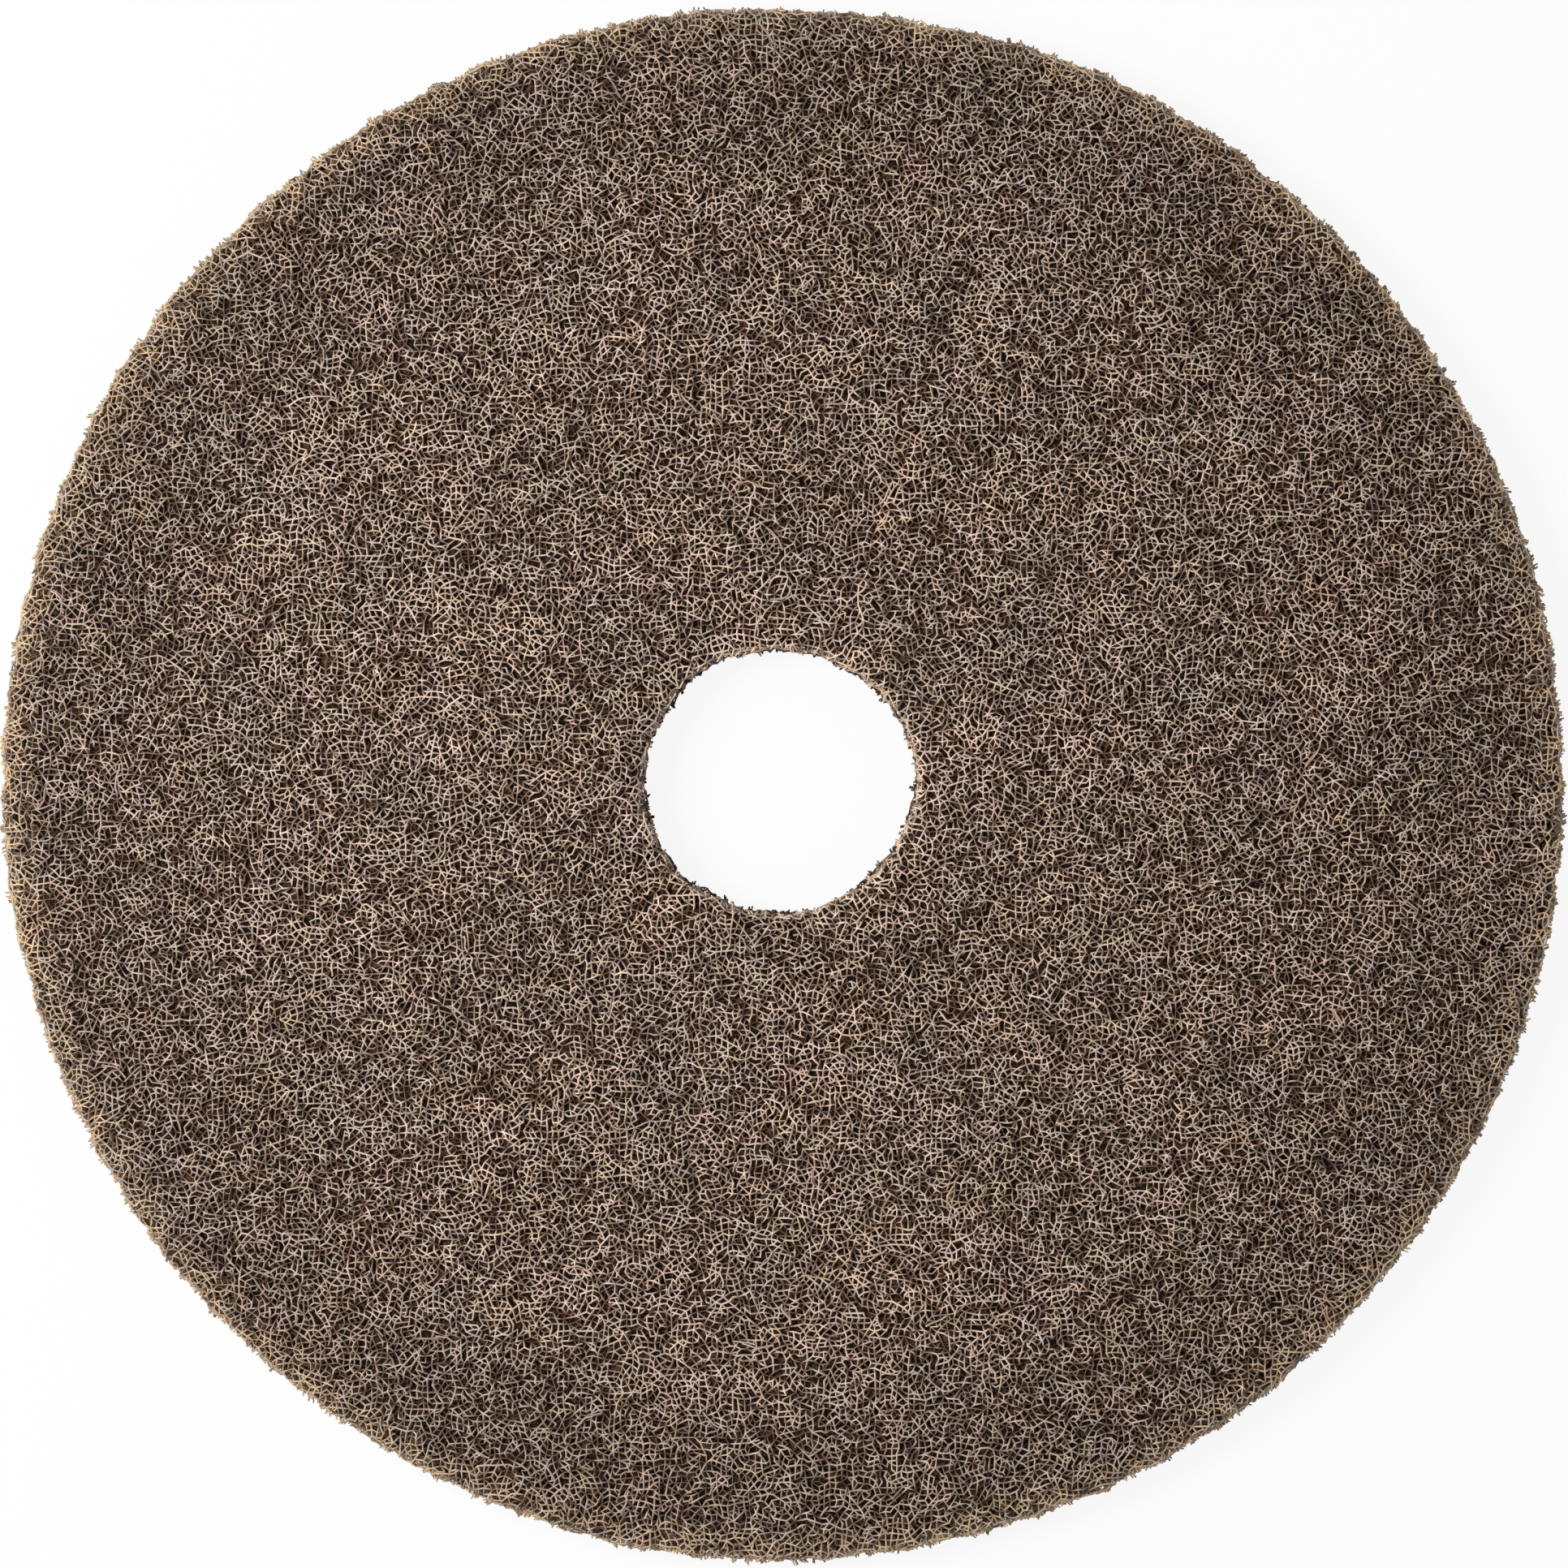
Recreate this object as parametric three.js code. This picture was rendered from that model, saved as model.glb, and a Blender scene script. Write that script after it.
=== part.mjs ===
// A round finishing disc for a single-disc floor machine: one thick, lofty web of crimped fibres
// bonded with resin, die-cut to an outer circle, with a punched hole for the machine's centre lock.
// Millimetres, +Z up. The disc lies on its flat driver face at z = 0, and the origin is the middle
// of its outline on that face. The working face is the upper one.
import * as THREE from "three";

// The die cut, measured at the driver face: a nineteen inch disc with a three and a quarter inch hole.
const PAD_DIAMETER = 483;
const HOLE_DIAMETER = 82.5;
const PAD_THICKNESS = 22;

// The hole was punched a little off the middle of the outline.
const HOLE_OFFSET = new THREE.Vector2(-1.2, 0.5);

// The die presses the web down before it cuts, so the upper edges stay rolled over:
// a wide, low shoulder at the rim and a narrower one at the hole.
const RIM_SHOULDER_WIDTH = 15;
const RIM_SHOULDER_DROP = 5;
const HOLE_SHOULDER_WIDTH = 3.5;
const HOLE_SHOULDER_DROP = 2.5;
const LOWER_EDGE_RADIUS = 1.5;

// The die also drags the upper fibres inwards, so the web is cut wider at its foot than at its top:
// the rim's foot stands out by this much, and the hole's foot stands into the hole by as much.
const CUT_SPREAD = 0.8;

// The soft web gives under the die, so neither circle is true. Each row is one swing of the edge:
// how many lobes it has round the circle, how far it swings, and where its first lobe points.
const RIM_LOBES = [
  { lobes: 2, swing: 0.75, turn: -8 },
  { lobes: 3, swing: 0.25, turn: 24 },
  { lobes: 5, swing: 0.25, turn: -24 },
  { lobes: 7, swing: 0.2, turn: 6 },
  { lobes: 9, swing: 0.25, turn: -16 },
];
const HOLE_LOBES = [
  { lobes: 2, swing: 0.6, turn: 6 },
  { lobes: 3, swing: 0.25, turn: 8 },
  { lobes: 4, swing: 0.27, turn: 22 },
  { lobes: 7, swing: 0.15, turn: 20 },
];

// Tufts of cut fibre stand out of both walls: how many go round, how far they stand out,
// and how much they are turned from the bottom of the wall to its top.
const RIM_TUFTS = { count: 71, depth: 0.45, twist: 160 };
const HOLE_TUFTS = { count: 37, depth: 0.3, twist: 130 };

// The air-laid web is not evenly thick. Its upper face swells and dips in long crossing waves:
// the length of each wave, the heading it runs in, and half its height.
const LOFT_WAVES = [
  { length: 71, heading: 18, height: 0.34 },
  { length: 53, heading: 101, height: 0.3 },
  { length: 39, heading: 152, height: 0.26 },
  { length: 31, heading: 63, height: 0.22 },
];

// How finely the surface is faceted.
const STEPS_ROUND = 192;
const FACE_RINGS = 18;
const SHOULDER_STEPS = 4;
const WALL_STEPS = 2;

const padRadius = PAD_DIAMETER / 2;
const holeRadius = HOLE_DIAMETER / 2;
const radians = THREE.MathUtils.degToRad;

// The section through one side of the disc, as radius and height. It runs round the section from the
// hole's lower edge: along the driver face, up the rim, back over the working face and down the hole.
function sectionOutline() {
  const line = (r1, z1, r2, z2) =>
    new THREE.LineCurve(new THREE.Vector2(r1, z1), new THREE.Vector2(r2, z2));
  const arc = (r, z, width, height, from, to) =>
    new THREE.EllipseCurve(r, z, width, height, radians(from), radians(to));

  const edge = LOWER_EDGE_RADIUS;
  const rimFoot = padRadius;
  const rimTop = padRadius - CUT_SPREAD;
  const rimShoulderZ = PAD_THICKNESS - RIM_SHOULDER_DROP;
  const faceOut = rimTop - RIM_SHOULDER_WIDTH;
  const holeFoot = holeRadius;
  const holeTop = holeRadius + CUT_SPREAD;
  const holeShoulderZ = PAD_THICKNESS - HOLE_SHOULDER_DROP;
  const faceIn = holeTop + HOLE_SHOULDER_WIDTH;

  const stretches = [
    [line(holeFoot + edge, 0, rimFoot - edge, 0), 1],
    [arc(rimFoot - edge, edge, edge, edge, -90, 0), 1],
    [line(rimFoot, edge, rimTop, rimShoulderZ), WALL_STEPS],
    [arc(faceOut, rimShoulderZ, RIM_SHOULDER_WIDTH, RIM_SHOULDER_DROP, 0, 90), SHOULDER_STEPS],
    [line(faceOut, PAD_THICKNESS, faceIn, PAD_THICKNESS), FACE_RINGS],
    [arc(faceIn, holeShoulderZ, HOLE_SHOULDER_WIDTH, HOLE_SHOULDER_DROP, 90, 180), 2],
    [line(holeTop, holeShoulderZ, holeFoot, edge), WALL_STEPS],
    [arc(holeFoot + edge, edge, edge, edge, 180, 270), 1],
  ];
  const points = [new THREE.Vector2(holeFoot + edge, 0)];
  for (const [curve, steps] of stretches) {
    points.push(...curve.getPoints(steps).slice(1));
  }
  points[points.length - 1].copy(points[0]);
  return points;
}

// How far a cut edge stands out of its true circle at an angle round the disc.
function edgeSwing(lobes, angle) {
  return lobes.reduce(
    (sum, lobe) => sum + lobe.swing * Math.cos(lobe.lobes * (angle - radians(lobe.turn))),
    0,
  );
}

// How far the tufts of a wall stand out, at an angle round the disc and a share of its height.
function tuftDepth(tufts, angle, heightShare) {
  const turned = tufts.count * angle + radians(tufts.twist) * heightShare;
  return tufts.depth * Math.sin(turned) * Math.sin(Math.PI * heightShare);
}

// How far the upper face swells above its mean height at a place on it.
function loftAt(x, y) {
  return LOFT_WAVES.reduce((sum, wave) => {
    const heading = radians(wave.heading);
    const along = x * Math.cos(heading) + y * Math.sin(heading);
    return sum + wave.height * Math.sin((2 * Math.PI * along) / wave.length);
  }, 0);
}

// Turns the true ring into the cut web: its edges swing and fray, its hole moves off centre,
// and its upper face swells and dips while the driver face stays flat.
function fray(geometry) {
  const position = geometry.getAttribute("position");
  const point = new THREE.Vector3();
  for (let i = 0; i < position.count; i++) {
    point.fromBufferAttribute(position, i);
    const angle = Math.atan2(point.y, point.x);
    const radius = Math.hypot(point.x, point.y);
    const heightShare = THREE.MathUtils.clamp(point.z / PAD_THICKNESS, 0, 1);
    const toRim = THREE.MathUtils.clamp((radius - holeRadius) / (padRadius - holeRadius), 0, 1);
    const toHole = 1 - toRim;

    const rim = edgeSwing(RIM_LOBES, angle) + tuftDepth(RIM_TUFTS, angle, heightShare);
    const hole = edgeSwing(HOLE_LOBES, angle) - tuftDepth(HOLE_TUFTS, angle, heightShare);
    const grown = radius + rim * toRim + hole * toHole;
    point.x = grown * Math.cos(angle) + HOLE_OFFSET.x * toHole;
    point.y = grown * Math.sin(angle) + HOLE_OFFSET.y * toHole;
    point.z += loftAt(point.x, point.y) * heightShare;
    position.setXYZ(i, point.x, point.y, point.z);
  }
  position.needsUpdate = true;
  geometry.computeVertexNormals();
  return geometry;
}

const webMaterial = new THREE.MeshStandardMaterial({
  name: "resin_bonded_fibre",
  color: 0x6f5e52,
  roughness: 0.9,
  metalness: 0,
});

const ring = new THREE.LatheGeometry(sectionOutline(), STEPS_ROUND);
ring.rotateX(Math.PI / 2);

const fibrePad = new THREE.Mesh(fray(ring), webMaterial);
fibrePad.name = "fibre_pad";

const finishingDisc = new THREE.Group();
finishingDisc.add(fibrePad);

export default finishingDisc;
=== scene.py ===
# %% [markdown]
# # A finishing disc for a floor machine
# The disc is one thick round of non-woven web: coarse crimped polyester fibres, thrown at random and
# glued where they cross by a brown resin that also carries the abrasive. It is die-cut to its outer
# circle and has a punched hole in the middle. Seen from above it is a dense net of pale curls over
# dark pits, so most of this lesson is about drawing real fibres and giving the pits their depth.
#
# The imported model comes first. It is the fixed frame: everything below is worked out from its sizes.

# %% Load the frame
import math
import random

import bmesh
import bpy
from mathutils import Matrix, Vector, noise
from mathutils.bvhtree import BVHTree
from mathutils.geometry import delaunay_2d_cdt


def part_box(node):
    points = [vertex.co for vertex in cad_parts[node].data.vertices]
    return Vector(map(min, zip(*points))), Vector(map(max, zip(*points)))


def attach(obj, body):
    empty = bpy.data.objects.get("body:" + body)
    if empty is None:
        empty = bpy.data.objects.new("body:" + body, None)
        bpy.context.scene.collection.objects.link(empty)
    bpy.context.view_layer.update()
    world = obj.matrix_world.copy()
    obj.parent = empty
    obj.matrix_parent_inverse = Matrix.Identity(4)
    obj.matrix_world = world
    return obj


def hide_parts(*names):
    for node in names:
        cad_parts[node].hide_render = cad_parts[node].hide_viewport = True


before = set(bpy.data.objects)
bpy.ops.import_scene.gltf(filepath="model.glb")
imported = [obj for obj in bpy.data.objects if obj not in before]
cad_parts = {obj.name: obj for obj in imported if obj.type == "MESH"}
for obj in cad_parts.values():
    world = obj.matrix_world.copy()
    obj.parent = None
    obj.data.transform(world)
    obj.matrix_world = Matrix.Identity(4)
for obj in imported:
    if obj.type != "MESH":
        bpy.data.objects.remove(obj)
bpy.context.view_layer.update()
MM = 0.001
pad_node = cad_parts["fibre_pad"]
pad_low, pad_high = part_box("fibre_pad")
print("pad from", [round(v / MM, 1) for v in pad_low], "to", [round(v / MM, 1) for v in pad_high], "mm")

# %% [markdown]
# ## Where the web's surface is
# Every fibre has to lie in the surface of the real web, which swells and dips, rolls over at its two
# edges and isn't truly round. That form is already in the frame, so it isn't worked out again: rays
# are cast at the frame's solid. A ray from above gives the height of the working face, and a level
# ray gives how far out the rim or the hole's wall stands.

# %% Rays that find the surface
solid = bmesh.new()
solid.from_mesh(pad_node.data)
surface = BVHTree.FromBMesh(solid)
RAY_START = 0.5  # metres, well outside the disc

HOLE_MIDDLE = Vector((-1.2 * MM, 0.5 * MM, 0))  # it was punched a little off the disc's middle

# Lower than this, the surface is a cut wall and no longer a shoulder of the working face.
RIM_WALL_TOP = pad_high.z - 6.8 * MM
HOLE_WALL_TOP = pad_high.z - 4.4 * MM


def face_height(x, y):
    """The height of the working face at a place, or None past its edges, where a wall drops away."""
    hit = surface.ray_cast(Vector((x, y, RAY_START)), Vector((0, 0, -1)))[0]
    nearer_rim = math.hypot(x, y) > pad_high.x / 2
    wall_top = RIM_WALL_TOP if nearer_rim else HOLE_WALL_TOP
    return None if hit is None or hit.z < wall_top else hit.z


def rim_radius(angle, z):
    """How far the rim stands from the disc's middle, at an angle round it and a height."""
    outwards = Vector((math.cos(angle), math.sin(angle), 0))
    hit = surface.ray_cast(outwards * RAY_START + Vector((0, 0, z)), -outwards)[0]
    return None if hit is None else math.hypot(hit.x, hit.y)


def hole_radius(angle, z):
    """How far the hole's wall stands from the hole's middle, at an angle round it and a height."""
    outwards = Vector((math.cos(angle), math.sin(angle), 0))
    hit = surface.ray_cast(HOLE_MIDDLE + Vector((0, 0, z)), outwards)[0]
    return None if hit is None else (hit - HOLE_MIDDLE - Vector((0, 0, z))).length


QUARTERS = [k * math.pi / 2 for k in range(4)]
MID_HEIGHT = (pad_low.z + pad_high.z) / 2
RIM = sum(rim_radius(a, MID_HEIGHT) for a in QUARTERS) / 4
HOLE = sum(hole_radius(a, MID_HEIGHT) for a in QUARTERS) / 4
print("mean radius of the rim", round(RIM / MM, 1), "mm and of the hole", round(HOLE / MM, 1), "mm")

# %% [markdown]
# ## The camera
# The photograph looks straight down, with almost no perspective: hardly anything of the hole's wall
# shows. So the camera hangs far above the disc with a long lens. How wide the view is at the height of
# the rim follows from the photograph, where the disc is 1917 of 1932 pixels across.

# %% Hang the camera
PHOTO_WIDTH = 1932
PHOTO_DISC_WIDTH = 1917
PHOTO_DISC_MIDDLE = (964.8, 964.5)
CAMERA_HEIGHT = 3.0
SENSOR_WIDTH = 36
RIM_TOP = 17 * MM  # where the rim's wall ends and its shoulder begins


def link(name, data):
    """A new object in the scene that holds a mesh, a lamp or a camera."""
    made = bpy.data.objects.new(name, data)
    bpy.context.scene.collection.objects.link(made)
    return made


camera_data = bpy.data.cameras.new("photo_camera")
camera = link("photo_camera", camera_data)
bpy.context.scene.camera = camera
view_width = 2 * RIM * PHOTO_WIDTH / PHOTO_DISC_WIDTH
pixel = view_width / PHOTO_WIDTH
camera_data.sensor_width = SENSOR_WIDTH
camera_data.lens = SENSOR_WIDTH * (CAMERA_HEIGHT - RIM_TOP) / view_width
camera.location = (
    (PHOTO_WIDTH / 2 - PHOTO_DISC_MIDDLE[0]) * pixel,
    (PHOTO_DISC_MIDDLE[1] - PHOTO_WIDTH / 2) * pixel,
    CAMERA_HEIGHT,
)
camera_data.clip_end = 10
print("lens", round(camera_data.lens), "mm, view", round(view_width / MM, 1), "mm wide")

# %% [markdown]
# ## Colours and nodes
# Colours are given as the hex values of a screen colour. Blender's nodes calculate in linear
# light, so one function turns the one into the other. A second function adds a node to a material:
# its settings are named, and each input takes either a value or a link from an earlier node.

# %% Two helpers for materials
def linear(hex_colour):
    """The linear colour of an sRGB hex value such as "#b8a694"."""
    channels = [int(hex_colour[k : k + 2], 16) / 255 for k in (1, 3, 5)]
    return tuple(c / 12.92 if c <= 0.04045 else ((c + 0.055) / 1.055) ** 2.4 for c in channels) + (1,)


def add(tree, kind, inputs, **settings):
    """Adds a node with these settings. inputs gives each socket a value or another node's output."""
    node = tree.nodes.new(kind)
    for name, value in settings.items():
        setattr(node, name, value)
    for socket, value in inputs.items():
        if isinstance(value, bpy.types.NodeSocket):
            tree.links.new(value, node.inputs[socket])
        else:
            node.inputs[socket].default_value = value
    return node


def new_material(name):
    """An empty material and its node tree."""
    material = bpy.data.materials.new(name)
    material.use_nodes = True
    material.node_tree.nodes.clear()
    return material, material.node_tree


# %% [markdown]
# ## Floor and light
# The disc lies on a plain white floor under a big soft lamp, with an even pale sky all round. The sky
# fills the pits a little, and the lamp stands to the left, as the photograph's left side is brighter
# than its right, so each fibre has a lit side and throws a small shadow.
# The two together light a level surface so that a colour renders about as it is written.
# The photograph's ground is pure white. The floor gets most of the way there by showing the camera
# white light of its own, and keeps a little of its real shading to show the disc's shadow.

# %% Lay the floor
FLOOR_SIZE = 6
FLOOR_WHITE = linear("#f2f2f2")
FLOOR_SHADE_SHARE = 0.1

floor_material, tree = new_material("studio_paper")
paths = add(tree, "ShaderNodeLightPath", {})
seen = paths.outputs["Is Camera Ray"]
for kind in ("Is Glossy Ray", "Is Transmission Ray"):
    seen = add(tree, "ShaderNodeMath", {0: seen, 1: paths.outputs[kind]}, operation="MAXIMUM").outputs[0]
share = add(tree, "ShaderNodeMath", {0: seen, 1: 1 - FLOOR_SHADE_SHARE}, operation="MULTIPLY")
paper = add(tree, "ShaderNodeBsdfDiffuse", {"Color": FLOOR_WHITE})
white = add(tree, "ShaderNodeEmission", {"Color": (1, 1, 1, 1), "Strength": 1})
mixed = add(tree, "ShaderNodeMixShader", {0: share.outputs[0], 1: paper.outputs[0], 2: white.outputs[0]})
add(tree, "ShaderNodeOutputMaterial", {"Surface": mixed.outputs[0]})

floor_form = bmesh.new()
bmesh.ops.create_grid(floor_form, x_segments=1, y_segments=1, size=FLOOR_SIZE / 2)
floor_mesh = bpy.data.meshes.new("floor")
floor_form.to_mesh(floor_mesh)
floor_form.free()
floor_mesh.materials.append(floor_material)
floor = link("floor", floor_mesh)

# %% [markdown]
# The sky is an even dome. It lights the disc softly from all sides, and where the camera looks past
# the floor it sees plain white.

# %% Light the sky
SKY_STRENGTH = 0.38
world = bpy.data.worlds.new("pale_sky")
bpy.context.scene.world = world
world.use_nodes = True
sky_tree = world.node_tree
sky_tree.nodes.clear()
sky_paths = add(sky_tree, "ShaderNodeLightPath", {})
sky_seen = add(sky_tree, "ShaderNodeMapRange",
               {"Value": sky_paths.outputs["Is Camera Ray"], "To Min": SKY_STRENGTH, "To Max": 1})
sky = add(sky_tree, "ShaderNodeBackground", {"Color": (1, 1, 1, 1), "Strength": sky_seen.outputs[0]})
add(sky_tree, "ShaderNodeOutputWorld", {"Surface": sky.outputs[0]})

# %% [markdown]
# The lamp is a square softbox that looks at the disc from the left.

# %% Hang the lamp
LAMP_PLACE = Vector((-0.95, 0.15, 1.3))
LAMP_SIZE = 0.8
LAMP_WATTS = 20.5
lamp_data = bpy.data.lights.new("soft_lamp", "AREA")
lamp_data.shape = "SQUARE"
lamp_data.size = LAMP_SIZE
lamp_data.energy = LAMP_WATTS
lamp = link("soft_lamp", lamp_data)
lamp.location = LAMP_PLACE
lamp.rotation_euler = (-LAMP_PLACE).to_track_quat("-Z", "Y").to_euler()
bpy.context.scene.view_settings.view_transform = "Standard"

# %% [markdown]
# ## The deep web
# Below the fibres that the eye can follow lies more web, too deep and dark to tell one fibre from the
# next. Drawing it fibre by fibre would be wasted, so it is one closed pad with a net drawn on it. It
# starts as a copy of the frame's solid, drawn in by up to three millimetres to leave room for the
# fibres: most under the working face, less at the walls and least over the driver face.

# %% Draw the solid in
FACE_ROOM = 2.6 * MM
DRIVER_ROOM = 0.6 * MM
WALL_ROOM = 1.0 * MM
WELD = 0.01 * MM  # corners nearer than this become one

body_form = bmesh.new()
body_form.from_mesh(pad_node.data)
bmesh.ops.remove_doubles(body_form, verts=body_form.verts, dist=WELD)
middle_radius = (RIM + HOLE) / 2
half_width = (RIM - HOLE) / 2
narrowed = 1 - WALL_ROOM / half_width
flattened = 1 - (FACE_ROOM + DRIVER_ROOM) / (pad_high.z - pad_low.z)
for vertex in body_form.verts:
    radius = math.hypot(vertex.co.x, vertex.co.y)
    drawn_in = (middle_radius + (radius - middle_radius) * narrowed) / radius
    vertex.co.x *= drawn_in
    vertex.co.y *= drawn_in
    vertex.co.z = DRIVER_ROOM + vertex.co.z * flattened
body_mesh = bpy.data.meshes.new("web_body_form")
body_form.to_mesh(body_mesh)
body_form.free()

# %% [markdown]
# The copy's long facets can't swell. A voxel remesh gives it an even skin, and a displacement raises
# that into soft lumps. What the modifiers make is then kept as a plain mesh.

# %% Give it a lumpy skin
VOXEL = 3.4 * MM
LUMP_SIZE = 5 * MM
LUMP_HEIGHT = 1.2 * MM


def as_plain_mesh(made, name):
    """The mesh that an object's modifiers make, in an object of its own. The old object goes."""
    graph = bpy.context.evaluated_depsgraph_get()
    mesh = bpy.data.meshes.new_from_object(made.evaluated_get(graph))
    mesh.name = name
    bpy.data.objects.remove(made)
    return link(name, mesh)


web_body = link("web_body_form", body_mesh)
remesh = web_body.modifiers.new("even_skin", "REMESH")
remesh.mode = "VOXEL"
remesh.voxel_size = VOXEL
lumps = bpy.data.textures.new("lumps", "CLOUDS")
lumps.noise_scale = LUMP_SIZE
displace = web_body.modifiers.new("soft_lumps", "DISPLACE")
displace.texture = lumps
displace.texture_coords = "LOCAL"
displace.strength = LUMP_HEIGHT
displace.mid_level = 0.5
web_body = as_plain_mesh(web_body, "web_body")
web_body.data.shade_smooth()
print("deep web:", len(web_body.data.polygons), "faces")

# %% [markdown]
# ## A net of crossings
# Seen from above, the web is a net of small dark pits with pale strands between them. Fibres drawn
# wholly at random would heap up in some places and leave bald ones, but a real web is combed by air
# and fills evenly. So the crossings come first, where resin glues the fibres. One falls at random in
# each square of a grid, and then each moves a good way to the middle of its neighbours.

# %% Scatter crossings evenly
EVENING = 0.62  # share of the way to its neighbours' middle that a crossing moves


def scattered(dice, low, high, spacing, wanted):
    """Places (u, v) in the box from low to high, one for each square, where wanted(u, v) holds."""
    places = []
    for row in range(math.ceil((high[1] - low[1]) / spacing)):
        for column in range(math.ceil((high[0] - low[0]) / spacing)):
            u = low[0] + (column + dice.random()) * spacing
            v = low[1] + (row + dice.random()) * spacing
            if wanted(u, v):
                places.append(Vector((u, v)))
    return places


def sides_between(places):
    """Pairs of neighbours by a triangulation, each with the one or two triangles on its sides."""
    triangles = delaunay_2d_cdt(places, [], [], 0, 0)[2]
    sides = {}
    for number, corners in enumerate(triangles):
        for k in range(3):
            sides.setdefault(tuple(sorted((corners[k], corners[k - 1]))), []).append(number)
    return sides


def evened(places):
    """The places again, each drawn towards the middle of its neighbours."""
    sums = [Vector((0, 0, 0)) for _ in places]
    for a, b in sides_between(places):
        sums[a] += Vector((*places[b], 1))
        sums[b] += Vector((*places[a], 1))
    return [place.lerp(total.xy / total.z, EVENING) for place, total in zip(places, sums)]


# %% [markdown]
# Strands join the neighbours round small triangles. Long strands, roughly the longest first, are
# taken out again where that opens two triangles to one pit, which leaves about four strands at a
# crossing. A few of the others are left out too, so some pits run together.

# %% Join the crossings by strands
CHANCE = (0.55, 1.45)  # how much chance changes a strand's length when the long ones are chosen
LEFT_OUT = 0.06  # share of the other strands that are left out


def strands_between(dice, crossings):
    """For each crossing, the crossings that a strand joins it to."""
    sides = sides_between(crossings)
    joined = [set() for _ in crossings]
    opened = set()
    lengths = {(a, b): (crossings[a] - crossings[b]).length * dice.uniform(*CHANCE) for a, b in sides}
    for a, b in sorted(sides, key=lengths.get, reverse=True):
        if opened.isdisjoint(sides[a, b]):
            opened.update(sides[a, b])
        elif dice.random() > LEFT_OUT:
            joined[a].add(b)
            joined[b].add(a)
    return joined


# %% [markdown]
# The fibres then follow the net. Each goes as straight on as it can at every crossing, until no strand
# is free there or the fibre has reached its full length.

# %% Follow the net
LONGEST_FIBRE = 16  # in strands


def chains_through(dice, crossings):
    """Chains of crossings that use each strand of the net once and turn as little as they can."""
    free = strands_between(dice, crossings)
    chains = []
    for start in range(len(crossings)):
        while free[start]:
            chain = [start]
            ahead = Vector((1, 0))
            while free[chain[-1]] and len(chain) <= LONGEST_FIBRE:
                here = chain[-1]
                ways = {k: (crossings[k] - crossings[here]).normalized() for k in free[here]}
                there = max(ways, key=lambda k: ahead.dot(ways[k]))
                ahead = ways[there]
                free[here].remove(there)
                free[there].remove(here)
                chain.append(there)
            chains.append(chain)
    return chains


# %% [markdown]
# ## Places in the two faces
# The soft web gives way under the die, so a cut edge frays: it wanders in and out by up to a
# millimetre every centimetre or so. Near the rim the die has also pressed the web together, so what
# lies below the working face lies closer to it there.

# %% Places in the two faces
FRAY_SIZE = 8 * MM
FRAY_DEPTH = 1.3 * MM
PRESSED_WIDTH = 16 * MM
PRESSED_DEPTH = 0.55  # share of its depth that the web keeps right at the rim


def fray(place):
    """How far a cut edge wanders out of the frame's surface at a place on it."""
    return FRAY_DEPTH * noise.noise(place / FRAY_SIZE)


def looseness(x, y):
    """How much of its depth the web keeps: all of it inside, less where the rim was pressed."""
    to_rim = (RIM - math.hypot(x, y)) / PRESSED_WIDTH
    return PRESSED_DEPTH + (1 - PRESSED_DEPTH) * min(max(to_rim, 0), 1)


def below_working_face(x, y, depth):
    """The place at (x, y) that lies this deep in the working face, or None past an edge."""
    drawn_in = 1 - fray(Vector((x, y, pad_high.z))) / math.hypot(x, y)
    height = face_height(x * drawn_in, y * drawn_in)
    return None if height is None else Vector((x, y, height - depth * looseness(x, y)))


def above_driver_face(x, y, depth):
    """The place at (x, y) that lies this deep in the driver face, or None past an edge."""
    drawn_in = 1 - fray(Vector((x, y, 0))) / math.hypot(x, y)
    return None if face_height(x * drawn_in, y * drawn_in) is None else Vector((x, y, depth))


# %% [markdown]
# ## Laying the net in a surface
# A crossing lies somewhat below the surface, some deep and some high, so its fibres climb and dip. At
# a cut edge the fibre ends just inside or outside the cut, as a cut fibre does. Halving the last
# strand again and again finds where the cut crosses it.

# %% Lay a net
RAGGED = (-0.4 * MM, 1.3 * MM)  # how far a cut fibre stands past the cut
HALVINGS = 4
SHORTEST_END = 0.1 * MM


def cut_end(dice, place_at, inside, outside, depth):
    """Where the way from a crossing inside the surface to one outside it is cut, a little ragged."""
    start = place_at(*inside, depth)
    for _ in range(HALVINGS):
        middle = (inside + outside) / 2
        if place_at(*middle, depth) is None:
            outside = middle
        else:
            inside = middle
    end = place_at(*inside, depth)
    if (end - start).length < SHORTEST_END:
        return end
    return end + (end - start).normalized() * dice.uniform(*RAGGED)


def lay_net(dice, crossings, depth, place_at):
    """Fibres, each a list of (place, depth). place_at(u, v, depth) is None past the surface's edge."""
    depths = [dice.uniform(*depth) for _ in crossings]
    places = [place_at(*crossing, lying) for crossing, lying in zip(crossings, depths)]
    fibres = []
    for chain in chains_through(dice, crossings):
        fibre = []
        for before, here in zip([chain[0]] + chain, chain):
            if places[here] is not None:
                if not fibre and places[before] is None:
                    end = cut_end(dice, place_at, crossings[here], crossings[before], depths[here])
                    fibre.append((end, depths[here]))
                fibre.append((places[here], depths[here]))
            elif fibre:
                end = cut_end(dice, place_at, crossings[before], crossings[here], depths[before])
                fibres.append(fibre + [(end, depths[before])])
                fibre = []
        if len(fibre) > 1:
            fibres.append(fibre)
    return fibres


# %% [markdown]
# ## Loose crimped fibres
# A few fibre ends lie free on top of the net. Fibre was crimped before it was thrown, so it turns one
# way and then the other every few millimetres, while it weaves over and under its neighbours. A walk
# with a random turn at each stride draws just that.

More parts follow.
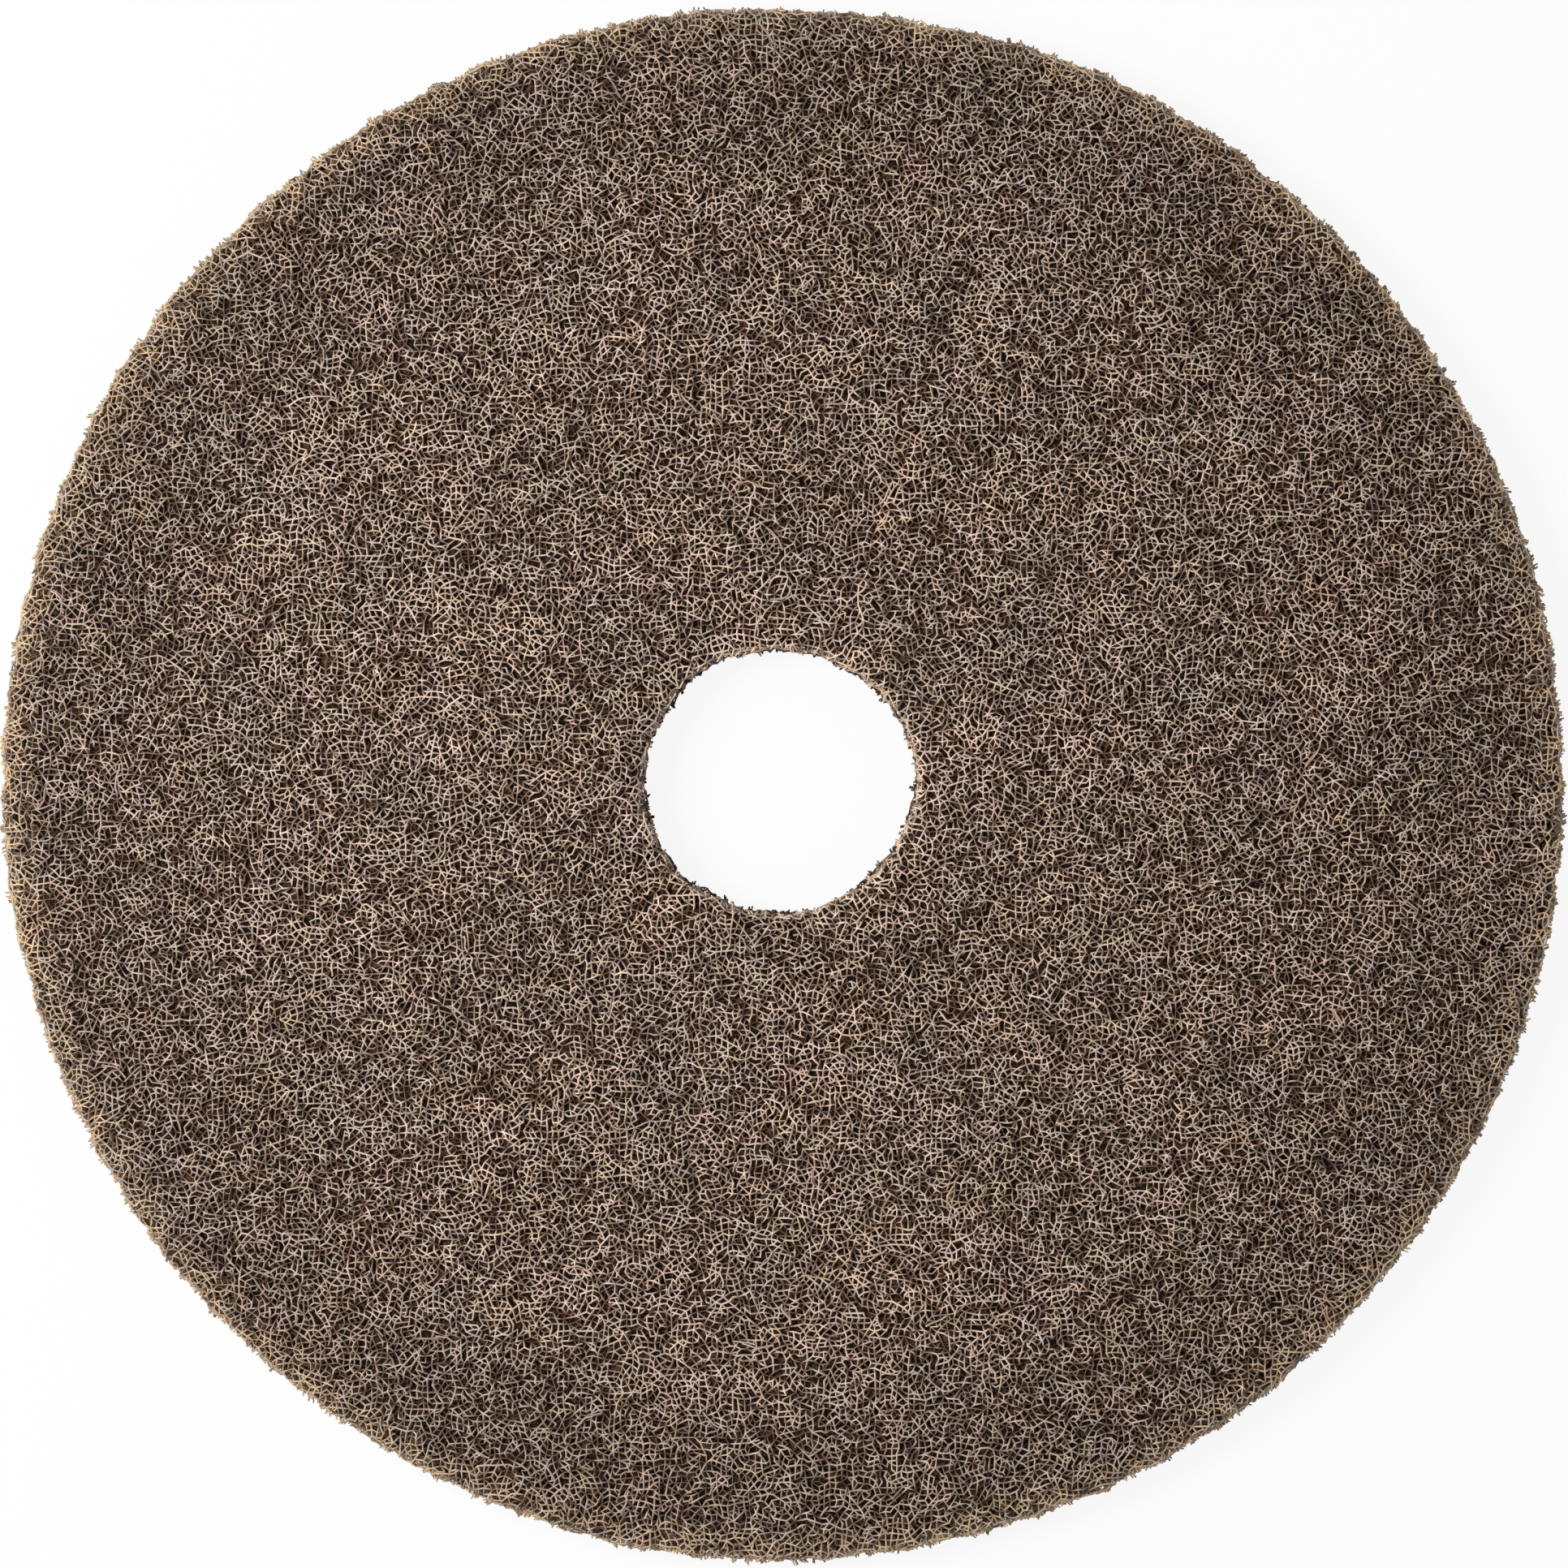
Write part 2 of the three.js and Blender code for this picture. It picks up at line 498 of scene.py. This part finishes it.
# %% Walk a loose fibre
STRIDE = 1.8 * MM
LOOSE_LENGTH = (4 * MM, 11 * MM)
CURL = 38  # degrees that a fibre may turn at each stride
WEAVE_TURN = (50, 125)  # degrees of a fibre's up and down wave at each stride


def lay_loose(dice, starts, depth, weave, place_at):
    """A loose fibre from each start, a list of (place, depth)."""
    fibres = []
    for x, y in starts:
        heading = dice.uniform(0, 2 * math.pi)
        wave = dice.uniform(0, 360)
        level = dice.uniform(*depth)
        fibre = []
        for _ in range(round(dice.uniform(*LOOSE_LENGTH) / STRIDE)):
            lying = level + weave * math.sin(math.radians(wave))
            place = place_at(x, y, lying)
            if place is None:
                break
            fibre.append((place, lying))
            heading += math.radians(dice.uniform(-CURL, CURL))
            x += STRIDE * math.cos(heading)
            y += STRIDE * math.sin(heading)
            wave += dice.uniform(*WEAVE_TURN)
        if len(fibre) > 1:
            fibres.append(fibre)
    return fibres


# %% [markdown]
# ## From a walk to a round fibre
# A fibre could be a bevelled curve, but its caps then come loose from its walls. Geometry Nodes sweep
# a three-sided profile along the walk and close both ends, and they carry what each point knows, its
# rise in the web and its tone, on to the mesh for the material. Three sides are enough: a fibre is
# under three pixels wide in the photograph, and smooth shading rounds it.

# %% A sweep with closed ends
FIBRE_RADIUS = 0.34 * MM
FIBRE_SIDES = 3


def sweep_group():
    """A node group that turns chains of edges into closed tubes, as thick as each point's own share."""
    group = bpy.data.node_groups.new("sweep_fibres", "GeometryNodeTree")
    group.interface.new_socket("Geometry", in_out="INPUT", socket_type="NodeSocketGeometry")
    group.interface.new_socket("Geometry", in_out="OUTPUT", socket_type="NodeSocketGeometry")
    given = add(group, "NodeGroupInput", {})
    chains = add(group, "GeometryNodeMeshToCurve", {"Mesh": given.outputs[0]})
    thickness = add(group, "GeometryNodeInputNamedAttribute", {"Name": "thickness"}, data_type="FLOAT")
    sized = add(group, "GeometryNodeSetCurveRadius",
                {"Curve": chains.outputs["Curve"], "Radius": thickness.outputs[0]})
    profile = add(group, "GeometryNodeCurvePrimitiveCircle",
                  {"Resolution": FIBRE_SIDES, "Radius": FIBRE_RADIUS})
    swept = add(group, "GeometryNodeCurveToMesh",
                {"Curve": sized.outputs[0], "Profile Curve": profile.outputs["Curve"], "Fill Caps": True})
    add(group, "NodeGroupOutput", {0: swept.outputs[0]})
    return group


sweep = sweep_group()

# %% [markdown]
# Resin gathers unevenly, so a fibre swells and thins on its way, and its tone changes. Where it goes
# almost straight on through a crossing, that place is left out, which saves triangles for a finer net.

# %% Sweep fibres
STRAIGHT_ON = math.radians(26)
THICKNESS = (0.7, 1.35)  # shares of the radius
TIP_SHARE = 0.8
FLOOR_ROOM = 1.6  # how high a fibre's middle stays above the floor, in its own radii
TONE_CHANGE = 3  # how much more a point's own tone counts than its fibre's
WEB_DEPTH = 2.4 * MM  # the depth at which a fibre's rise is 0


def eased(fibre):
    """The fibre without the places where it goes almost straight on, never two of them in a row."""
    shorter = fibre[:1]
    left_out = True
    for before, here, after in zip(fibre, fibre[1:], fibre[2:]):
        turn = (here[0] - before[0]).angle(after[0] - here[0], 0)
        left_out = turn < STRAIGHT_ON and not left_out
        if not left_out:
            shorter.append(here)
    return shorter + fibre[-1:]


def sweep_fibres(name, dice, fibres):
    """One object that holds all these fibres as closed tubes. None goes below the floor."""
    places, edges, rises, tones, thicknesses = [], [], [], [], []
    for fibre in fibres:
        fibre = eased(fibre)
        first = len(places)
        tone = dice.random()
        for k, (place, depth) in enumerate(fibre):
            thickness = dice.uniform(*THICKNESS)
            if k in (0, len(fibre) - 1):
                thickness *= TIP_SHARE
            lowest = FLOOR_ROOM * FIBRE_RADIUS * thickness
            places.append(Vector((place.x, place.y, max(place.z, lowest))))
            rises.append(1 - depth / WEB_DEPTH)
            tones.append((tone + TONE_CHANGE * dice.random()) / (1 + TONE_CHANGE))
            thicknesses.append(thickness)
        edges.extend((k, k + 1) for k in range(first, len(places) - 1))
    chains = bpy.data.meshes.new(name + "_walks")
    chains.from_pydata(places, edges, [])
    for attribute, values in (("rise", rises), ("tone", tones), ("thickness", thicknesses)):
        chains.attributes.new(attribute, "FLOAT", "POINT").data.foreach_set("value", values)
    made = link(name + "_walks", chains)
    made.modifiers.new("sweep", "NODES").node_group = sweep
    made = as_plain_mesh(made, name)
    made.data.shade_smooth()
    triangles = sum(len(face.vertices) - 2 for face in made.data.polygons)
    print(name, len(fibres), "fibres,", triangles, "triangles")
    return made


# %% [markdown]
# ## The working face
# This net is the finest, because it is what the photograph shows. Its fibres are dealt out to four
# pieces, which keeps each piece light, and their colours can differ a little. Then come the loose ones.

# %% Lay the working face
MARGIN = 8 * MM  # the net is scattered past the edges by this much, and cut back to them
NET_SPACING = 1.75 * MM
NET_DEPTH = (0.0 * MM, 1.6 * MM)
NET_SHARES = ("web_net_a_fibres", "web_net_b_fibres", "web_net_c_fibres", "web_net_d_fibres")
LOOSE_SPACING = 17 * MM
LOOSE_DEPTH = (-0.3 * MM, 0.4 * MM)
LOOSE_WEAVE = 0.4 * MM


def on_ring(x, y):
    """Whether a place lies on the disc or within the margin round its edges."""
    return HOLE - MARGIN < math.hypot(x, y) < RIM + MARGIN


def scattered_on_ring(dice, spacing):
    """Evened places all over the disc and its margin."""
    corner = RIM + MARGIN
    return evened(scattered(dice, (-corner, -corner), (corner, corner), spacing, on_ring))


pieces = {"web_body": web_body}
dice = random.Random(3)
fibres = lay_net(dice, scattered_on_ring(dice, NET_SPACING), NET_DEPTH, below_working_face)
dice.shuffle(fibres)
for share, name in enumerate(NET_SHARES):
    pieces[name] = sweep_fibres(name, dice, fibres[share :: len(NET_SHARES)])

dice = random.Random(5)
starts = scattered_on_ring(dice, LOOSE_SPACING)
fibres = lay_loose(dice, starts, LOOSE_DEPTH, LOOSE_WEAVE, below_working_face)
pieces["web_loose_fibres"] = sweep_fibres("web_loose_fibres", dice, fibres)

# %% [markdown]
# ## The driver face
# The disc lies on this face here, and in the machine the driver plate covers it. It isn't seen from
# above, so its net is wider.

# %% Lay the driver face
DRIVER_SPACING = 4.3 * MM
DRIVER_DEPTH = (0.5 * MM, 1.4 * MM)
dice = random.Random(13)
fibres = lay_net(dice, scattered_on_ring(dice, DRIVER_SPACING), DRIVER_DEPTH, above_driver_face)
pieces["web_driver_face_fibres"] = sweep_fibres("web_driver_face_fibres", dice, fibres)

# %% [markdown]
# ## The cut walls
# The rim and the hole are cut straight through the web, so the same net shows there, unrolled round
# the wall: a place on it is the way round and the height. Its depth is counted inwards. From both
# walls small tufts of cut ends stand out, a few fibres that lean the same way. They make the outline
# ragged. Fibres lower on the wall count as deeper, most of all in the hole, so painted shade darkens
# the walls towards their foot.

# %% Lay the walls
WALL_SPACING = 2.15 * MM
WALL_FOOT = 0.1 * MM
WALL_LAP = 1 * MM  # how far the wall's net climbs on to the shoulder
WALL_DEPTH = (-0.2 * MM, 1.4 * MM)
RIM_FOOT_SHADE = 0.03  # how much deeper a fibre counts, for painted shade, for each length it lies below the wall's top
HOLE_FOOT_SHADE = 0.12
TUFT_GAP = 1.3 * MM  # the way round the wall from one tuft to the next, on average
TUFT_ENDS = 3
TUFT_SPREAD = 0.8 * MM
TUFT_ROOT = 0.7 * MM
TUFT_LENGTH = (0.8 * MM, 2.4 * MM)
TUFT_LEAN = 50  # degrees to either side
TUFT_RISE = (-0.3, 0.5)  # how far a tuft points down or up, as a share of how far it points out
TUFT_UNEVEN = (0.7, 1.1)  # shares of the tuft's length that its ends reach


def lay_wall(dice, middle, mean_radius, radius_at, top, inwards, foot_shade):
    """Fibres of a cut wall. inwards is -1 where the web lies towards the middle, as at the rim."""

    def on_wall(way, z, depth):
        radius = radius_at(way / mean_radius, z) if WALL_FOOT < z < top else None
        if radius is None:
            return None
        outwards = Vector((math.cos(way / mean_radius), math.sin(way / mean_radius), 0))
        place = middle + outwards * radius + Vector((0, 0, z))
        return place + outwards * (inwards * depth + fray(place))

    around = 2 * math.pi * mean_radius
    unrolled = scattered(dice, (0, -MARGIN), (around, top + MARGIN), WALL_SPACING, lambda way, z: True)
    fibres = lay_net(dice, evened(unrolled), WALL_DEPTH, on_wall)
    for _ in range(round(around / TUFT_GAP)):
        way = dice.uniform(0, around)
        z = dice.uniform(WALL_FOOT, top)
        lean = way / mean_radius + math.radians(dice.uniform(-TUFT_LEAN, TUFT_LEAN))
        outwards = Vector((math.cos(lean), math.sin(lean), dice.uniform(*TUFT_RISE))) * -inwards
        length = dice.uniform(*TUFT_LENGTH)
        for _ in range(TUFT_ENDS):
            aside = dice.uniform(-TUFT_SPREAD, TUFT_SPREAD)
            root = on_wall(way + aside, z + dice.uniform(-TUFT_SPREAD, TUFT_SPREAD), TUFT_ROOT)
            if root is not None:
                tip = root + outwards * length * dice.uniform(*TUFT_UNEVEN)
                fibres.append([(root, TUFT_ROOT), (tip, 0)])
    # Painted shade: fibres lower on the wall count as deeper, so they come out darker.
    return [[(place, depth + foot_shade * (top - place.z)) for place, depth in fibre] for fibre in fibres]


dice = random.Random(21)
fibres = lay_wall(dice, Vector(), RIM, rim_radius, RIM_WALL_TOP + WALL_LAP, -1, RIM_FOOT_SHADE)
pieces["web_rim_fibres"] = sweep_fibres("web_rim_fibres", dice, fibres)
dice = random.Random(34)
fibres = lay_wall(dice, HOLE_MIDDLE, HOLE, hole_radius, HOLE_WALL_TOP + WALL_LAP, 1, HOLE_FOOT_SHADE)
pieces["web_hole_fibres"] = sweep_fibres("web_hole_fibres", dice, fibres)
triangles = sum(len(face.vertices) - 2 for piece in pieces.values() for face in piece.data.polygons)
print("all pieces together:", triangles, "triangles")

# %% [markdown]
# ## The finish of a bonded fibre
# The fibre is polyester under a coat of brown phenolic resin with fine grit in it. Its main colour
# follows the rise that each point carries: pale on the crests, and darker deeper down, where painted
# shade takes the depth of the web almost to black. Over it go broad patches and small stains that lean
# a little to red or to blue.

# %% The coat's colour
DEPTH_SHADE_SPAN = (0.3, 0.9)  # the rises where the painted depth shade is fullest and where it ends
PATCH_SIZE = 26 * MM
PATCH_SPAN = (0.25, 0.75)  # the noise values where a patch leans most to one side and to the other
PATCH_TINT = (0.06, 0.06)  # how far patches change red and blue
STAIN_SIZE = 5 * MM
STAIN_SPAN = (0.3, 0.7)
STAIN_TINT = (0.04, 0.07)


def shaded_tinted_coat(tree, place, stain, risen, crest, root):
    """The coat's colour with painted depth shade: root deep down, crest high up, with patches and stains."""
    patch = add(tree, "ShaderNodeTexNoise", {"Vector": place, "Scale": 1 / PATCH_SIZE, "Detail": 3})
    # Painted shade: the colour darkens from crest to root as a point lies deeper in the web.
    colour = add(tree, "ShaderNodeMix", {0: risen, 6: linear(root), 7: linear(crest)},
                 data_type="RGBA").outputs[2]
    tints = ((patch, PATCH_SPAN, PATCH_TINT), (stain, STAIN_SPAN, STAIN_TINT))
    for texture, (low, high), (red, blue) in tints:
        change = add(tree, "ShaderNodeMapRange",
                     {"Vector": texture.outputs["Color"], 7: (low, low, low), 8: (high, high, high),
                      9: (1 - red, 1, 1 - blue), 10: (1 + red, 1, 1 + blue)},
                     data_type="FLOAT_VECTOR")
        colour = add(tree, "ShaderNodeVectorMath", {0: colour, 1: change.outputs["Vector"]},
                     operation="MULTIPLY").outputs[0]
    return colour


# %% [markdown]
# At both cut edges the die has broken the coat, so patches of paler tan show there, in the hole only
# on the crests. The photographed disc also gets darker over a wide ring towards its rim.

# %% The cut edges
RIM_BARED = (11 * MM, 2 * MM)  # how far inside the rim the coat starts to break, and breaks most
HOLE_BARED = (5.5 * MM, 1.5 * MM)
RIM_BARED_COLOUR = "#dcc09c"
BROKEN_SPAN = (0.4, 0.6)  # the stain values between which the coat goes from whole to broken
BROKEN_SHARE = (0.05, 0.85)  # how much of the bare colour shows where it is whole, and where broken
SHADE_SPAN = (75 * MM, 20 * MM)  # how far inside the rim the shade starts, and is full
SHADE = 0.8


def share_at_edges(tree, place):
    """How far out a place is, and two factors that rise to 1 at the rim and at the hole."""
    across = add(tree, "ShaderNodeVectorMath", {0: place, 1: (1, 1, 0)}, operation="MULTIPLY")
    out = add(tree, "ShaderNodeVectorMath", {0: across.outputs[0]}, operation="LENGTH").outputs["Value"]
    at_rim = add(tree, "ShaderNodeMapRange",
                 {"Value": out, "From Min": RIM - RIM_BARED[0], "From Max": RIM - RIM_BARED[1]})
    at_hole = add(tree, "ShaderNodeMapRange",
                  {"Value": out, "From Min": HOLE + HOLE_BARED[0], "From Max": HOLE + HOLE_BARED[1]})
    return out, at_rim.outputs[0], at_hole.outputs[0]


def bared_and_shaded_at_edges(tree, place, stain, risen, shaded_coat, cut):
    """The coat's colour with its painted shade towards the rim, and its bare patches at both edges."""
    out, at_rim, at_hole = share_at_edges(tree, place)
    # Painted shade: the colour is darkened over a wide ring towards the rim.
    shade = add(tree, "ShaderNodeMapRange",
                {"Value": out, "From Min": RIM - SHADE_SPAN[0], "From Max": RIM - SHADE_SPAN[1],
                 "To Min": 1, "To Max": SHADE},
                interpolation_type="SMOOTHSTEP")
    colour = add(tree, "ShaderNodeVectorMath", {0: shaded_coat, "Scale": shade.outputs[0]},
                 operation="SCALE").outputs[0]
    broken = add(tree, "ShaderNodeMapRange",
                 {"Value": stain.outputs["Fac"], "From Min": BROKEN_SPAN[0], "From Max": BROKEN_SPAN[1],
                  "To Min": BROKEN_SHARE[0], "To Max": BROKEN_SHARE[1]})
    hole_crests = add(tree, "ShaderNodeMath", {0: at_hole, 1: risen}, operation="MULTIPLY")
    for at_edge, bared in ((at_rim, RIM_BARED_COLOUR), (hole_crests.outputs[0], cut)):
        share = add(tree, "ShaderNodeMath", {0: at_edge, 1: broken.outputs[0]}, operation="MULTIPLY")
        colour = add(tree, "ShaderNodeMix", {0: share.outputs[0], 6: colour, 7: linear(bared)},
                     data_type="RGBA").outputs[2]
    return colour


# %% [markdown]
# Three things make one spot lighter than the next: clouds, where the spray fell thinner or thicker,
# the tone, which changes along each fibre, and the grit.

# %% How light each spot is
CLOUD_SIZE = 28 * MM
CLOUD_SPAN = (0.3, 0.7)
CLOUD_LIGHT = (0.9, 1.1)
TONE_SPAN = (0, 1)
TONE_LIGHT = (0.72, 1.44)
GRIT_SIZE = 0.5 * MM  # the real grit is 0.05 mm, drawn coarser to show
GRIT_SPAN = (0.35, 0.7)
GRIT_LIGHT = (0.85, 1.2)


def uneven_light(tree, place, grit):
    """How light each spot is, as a factor of its colour."""
    cloud = add(tree, "ShaderNodeTexNoise", {"Vector": place, "Scale": 1 / CLOUD_SIZE, "Detail": 2})
    tone = add(tree, "ShaderNodeAttribute", {}, attribute_name="tone")
    lights = (
        (cloud, CLOUD_SPAN, CLOUD_LIGHT),
        (tone, TONE_SPAN, TONE_LIGHT),
        (grit, GRIT_SPAN, GRIT_LIGHT),
    )
    light = 1
    for texture, span, light_span in lights:
        share = add(tree, "ShaderNodeMapRange",
                    {"Value": texture.outputs["Fac"], "From Min": span[0], "From Max": span[1],
                     "To Min": light_span[0], "To Max": light_span[1]})
        light = add(tree, "ShaderNodeMath", {0: light, 1: share.outputs[0]}, operation="MULTIPLY").outputs[0]
    return light


# %% [markdown]
# All of it goes into one shader. The resin dries fairly smooth, and the grit in it gives it small
# bumps and takes most of its gloss.

# %% Bonded fibre
POLYESTER_RESIN_IOR = 1.55
FIBRE_ROUGHNESS = 0.5
FIBRE_GLOSS = 0.3  # 0.5 would be the full gloss of this IOR
GRIT_BUMP = 0.1 * MM


def bonded_fibre(name, crest, root, cut):
    """Resin-coated crimped polyester: crest, root and cut are its colours high up, deep down in painted
    shade, and cut.
    """
    material, tree = new_material(name)
    place = add(tree, "ShaderNodeTexCoord", {}).outputs["Object"]
    stain = add(tree, "ShaderNodeTexNoise", {"Vector": place, "Scale": 1 / STAIN_SIZE, "Detail": 1})
    grit = add(tree, "ShaderNodeTexNoise", {"Vector": place, "Scale": 1 / GRIT_SIZE, "Detail": 2})
    rise = add(tree, "ShaderNodeAttribute", {}, attribute_name="rise")
    risen = add(tree, "ShaderNodeMapRange",
                {"Value": rise.outputs["Fac"], "From Min": DEPTH_SHADE_SPAN[0], "From Max": DEPTH_SHADE_SPAN[1]},
                interpolation_type="SMOOTHSTEP").outputs[0]
    shaded_coat = shaded_tinted_coat(tree, place, stain, risen, crest, root)
    shown = bared_and_shaded_at_edges(tree, place, stain, risen, shaded_coat, cut)
    colour = add(tree, "ShaderNodeVectorMath", {0: shown, "Scale": uneven_light(tree, place, grit)},
                 operation="SCALE")
    bump = add(tree, "ShaderNodeBump",
               {"Height": grit.outputs["Fac"], "Strength": 0.5, "Distance": GRIT_BUMP})
    shader = add(tree, "ShaderNodeBsdfPrincipled",
                 {"Base Color": colour.outputs[0], "Roughness": FIBRE_ROUGHNESS,
                  "IOR": POLYESTER_RESIN_IOR, "Specular IOR Level": FIBRE_GLOSS,
                  "Normal": bump.outputs[0]})
    add(tree, "ShaderNodeOutputMaterial", {"Surface": shader.outputs[0]})
    return material


# %% [markdown]
# The pieces differ a little in their colours. Each row gives the crest colour, the root colour, which
# is painted depth shade, and the cut colour. The crests of the loose fibres, the rim and the driver
# face are darker than the net's, and the hole's wall has a darker painted shade in its depth.

# %% Coat the fibres
FIBRE_COLOURS_AND_SHADES = {
    "web_net_a_fibres": ("#e0c8b5", "#5c3c29", "#f8dfc6"),
    "web_net_b_fibres": ("#d8c0ad", "#5c3c29", "#f8dfc6"),
    "web_net_c_fibres": ("#dec8b8", "#5c3c29", "#f8dfc6"),
    "web_net_d_fibres": ("#d6bda8", "#5c3c29", "#f8dfc6"),
    "web_loose_fibres": ("#c6ae9b", "#5c3c29", "#e0c6ac"),
    "web_driver_face_fibres": ("#cdb9a6", "#4d392c", "#e0c6ac"),
    "web_rim_fibres": ("#d3baa0", "#5b4636", "#d8bc9f"),
    "web_hole_fibres": ("#dcc2aa", "#4a3325", "#f4d8bd"),
}
for name, (crest, root, cut) in FIBRE_COLOURS_AND_SHADES.items():
    pieces[name].data.materials.append(bonded_fibre("bonded_" + name[4:], crest, root, cut))

# %% [markdown]
# ## The finish of the deep web, in painted shade
# Down here the resin fills the crossings, and little light comes back out, so its colours are painted
# shade: mid-brown strands over near-black pits. More strands show between the fibres above, too many
# to build one by one, so they are drawn. A smooth noise swings above and below its middle value, and the
# lines where it passes that value wander and curl like a strand. Two such noises of different sizes make
# strands that cross, and a bump raises them out of the painted near black.

# %% Deep web finish in painted shade
CURL_SIZES = (2.0 * MM, 2.7 * MM)
STRAND_EDGE = 0.07  # how far from its middle value the noise has left a strand
# Painted shade: the deep strands are drawn darker than the fibres above, and the pits between them near
# black.
DEEP_SHADED_STRAND = "#5c4433"
DEEP_SHADED_STRAND_AT_RIM = "#8c6f55"
DEEP_PAINTED_SHADE = "#140903"
STRAND_BUMP = 0.5 * MM
DEEP_ROUGHNESS = 0.6
DEEP_GLOSS = 0.1

deep_material, tree = new_material("shaded_deep_web")
place = add(tree, "ShaderNodeTexCoord", {}).outputs["Object"]
strand = 0
for size in CURL_SIZES:
    swing = add(tree, "ShaderNodeTexNoise", {"Vector": place, "Scale": 1 / size, "Detail": 1})
    offset = add(tree, "ShaderNodeMath", {0: swing.outputs["Fac"], 1: 0.5}, operation="SUBTRACT")
    apart = add(tree, "ShaderNodeMath", {0: offset.outputs[0]}, operation="ABSOLUTE")
    line = add(tree, "ShaderNodeMapRange",
               {"Value": apart.outputs[0], "From Min": STRAND_EDGE, "From Max": STRAND_EDGE / 4},
               interpolation_type="SMOOTHSTEP")
    strand = add(tree, "ShaderNodeMath", {0: strand, 1: line.outputs[0]}, operation="MAXIMUM").outputs[0]
at_rim = share_at_edges(tree, place)[1]
shaded_strand = add(tree, "ShaderNodeMix", {0: at_rim, 6: linear(DEEP_SHADED_STRAND), 7: linear(DEEP_SHADED_STRAND_AT_RIM)},
          data_type="RGBA")
# The drawn strands over near black: the painted shade of the deep web.
shaded_deep_colour = add(tree, "ShaderNodeMix", {0: strand, 6: linear(DEEP_PAINTED_SHADE), 7: shaded_strand.outputs[2]}, data_type="RGBA")
hills = add(tree, "ShaderNodeBump", {"Height": strand, "Strength": 1, "Distance": STRAND_BUMP})
shader = add(tree, "ShaderNodeBsdfPrincipled",
             {"Base Color": shaded_deep_colour.outputs[2], "Roughness": DEEP_ROUGHNESS, "IOR": POLYESTER_RESIN_IOR,
              "Specular IOR Level": DEEP_GLOSS, "Normal": hills.outputs[0]})
add(tree, "ShaderNodeOutputMaterial", {"Surface": shader.outputs[0]})
web_body.data.materials.clear()
web_body.data.materials.append(deep_material)

# %% [markdown]
# ## The pieces ride on one body
# All the pieces are one web, so they ride on the one body, and the frame's plain solid is hidden as
# they take its place. The deep web is the pad itself, full and springy.

# %% Ride on the body
for piece in pieces.values():
    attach(piece, "root")
    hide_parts("fibre_pad")
